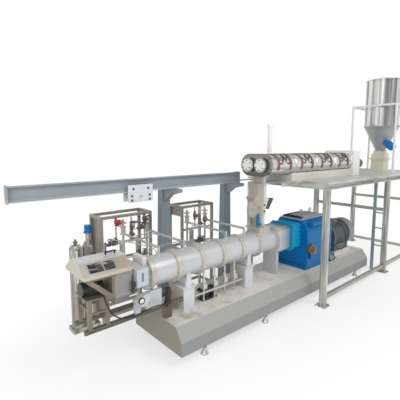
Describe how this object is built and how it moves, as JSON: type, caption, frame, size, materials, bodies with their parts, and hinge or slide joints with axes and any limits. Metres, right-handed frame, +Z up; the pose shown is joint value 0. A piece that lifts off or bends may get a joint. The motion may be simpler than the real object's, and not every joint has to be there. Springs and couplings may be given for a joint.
{
  "type": "fish feed extruder",
  "caption": "Twin screw feed extruder on a skid with die face cutter, overhead rail and trolley, valve racks, and a platform with conditioner and meal hopper.",
  "frame": {"origin": "centre of the bounding box on the floor", "axes": "+X along the barrel from the cutter to the hopper, +Y away from the operator, +Z up"},
  "size_m": [8.78, 2.17, 4.276],
  "materials": {
    "skid_grey": "satin",
    "stainless": "brushed",
    "light_steel": "satin",
    "barrel_steel": "satin",
    "lantern_paint": "satin",
    "gear_blue": "gloss",
    "plate_blue": "gloss",
    "brass": "satin",
    "black_paint": "satin",
    "motor_grey": "satin",
    "dark_bar": "satin",
    "tan_steel": "brushed",
    "window": "gloss",
    "black_plastic": "matte",
    "black_rubber": "matte",
    "rail_blue": "satin",
    "post_teal": "satin",
    "white_steel": "satin",
    "cast": "satin",
    "olive_steel": "brushed",
    "deck_steel": "satin",
    "dark_teal": "satin",
    "polished": "polished",
    "strap_brown": "satin",
    "beige_paint": "satin",
    "dark_steel": "brushed"
  },
  "bodies": {
    "plant": {"skid_base": "skid_grey", "levelling_feet": "stainless", "pedestals": "skid_grey", "barrel_saddles": "light_steel", "barrel_sections": "barrel_steel", "die_head": "barrel_steel", "die_side_box": "light_steel", "lantern_housing": "lantern_paint", "thrust_housing": "plate_blue", "gearbox_case": "gear_blue", "gearbox_cover": "light_steel", "oil_pump": "brass", "lube_motor": "plate_blue", "coupling_guard": "black_paint", "drive_motor": "motor_grey", "motor_fan_cowl": "motor_grey", "jacket_manifold": "stainless", "cutter_rails": "dark_bar", "cutter_stand": "tan_steel", "knife_chamber": "tan_steel", "discharge_funnel": "tan_steel", "cutter_motor": "black_paint", "clamp_cylinder": "black_paint", "hinge_pin": "stainless", "rail_beam": "rail_blue", "rail_posts": "post_teal", "platform_legs": "olive_steel", "platform_beams": "olive_steel", "platform_deck": "deck_steel", "platform_rails": "olive_steel", "hopper_guard": "white_steel", "conditioner_shell": "polished", "conditioner_bearings": "white_steel", "conditioner_straps": "strap_brown", "conditioner_base": "beige_paint", "conditioner_casing": "beige_paint", "conditioner_motor": "motor_grey", "vent_pipe": "beige_paint", "drop_chute": "tan_steel", "bypass_branch": "dark_teal", "bypass_fan": "tan_steel", "bypass_cylinder": "plate_blue", "hopper_bin": "polished", "hopper_lid": "polished", "hopper_cone": "dark_steel", "agitator_motor": "plate_blue", "screw_feeder": "beige_paint", "rack_frames": "olive_steel", "rack_tanks": "olive_steel", "dosing_motor": "plate_blue", "rack_piping": "stainless", "cutter_cable": "black_rubber", "motor_cable": "black_rubber", "drain_cable": "black_rubber"},
    "trolley": {"trolley_plates": "white_steel", "trolley_wheels": "cast"},
    "hood": {"cutter_hood": "tan_steel", "hood_window": "window", "hood_handle": "black_plastic"},
    "knives": {"knife_rotor": "stainless"}
  },
  "joints": [
    {"name": "trolley_slide", "type": "slide", "parent": "plant", "child": "trolley", "axis": [1, 0, 0], "range_m": [-1.43, 0.337]},
    {"name": "hood_lift", "type": "hinge", "parent": "plant", "child": "hood", "pos_m": [-3.64, 0.037, 1.269], "axis": [-1, 0, 0], "range_deg": [0, 80]},
    {"name": "knife_spin", "type": "hinge", "parent": "plant", "child": "knives", "pos_m": [-3.38, -0.245, 1.075], "axis": [1, 0, 0], "continuous": true}
  ]
}
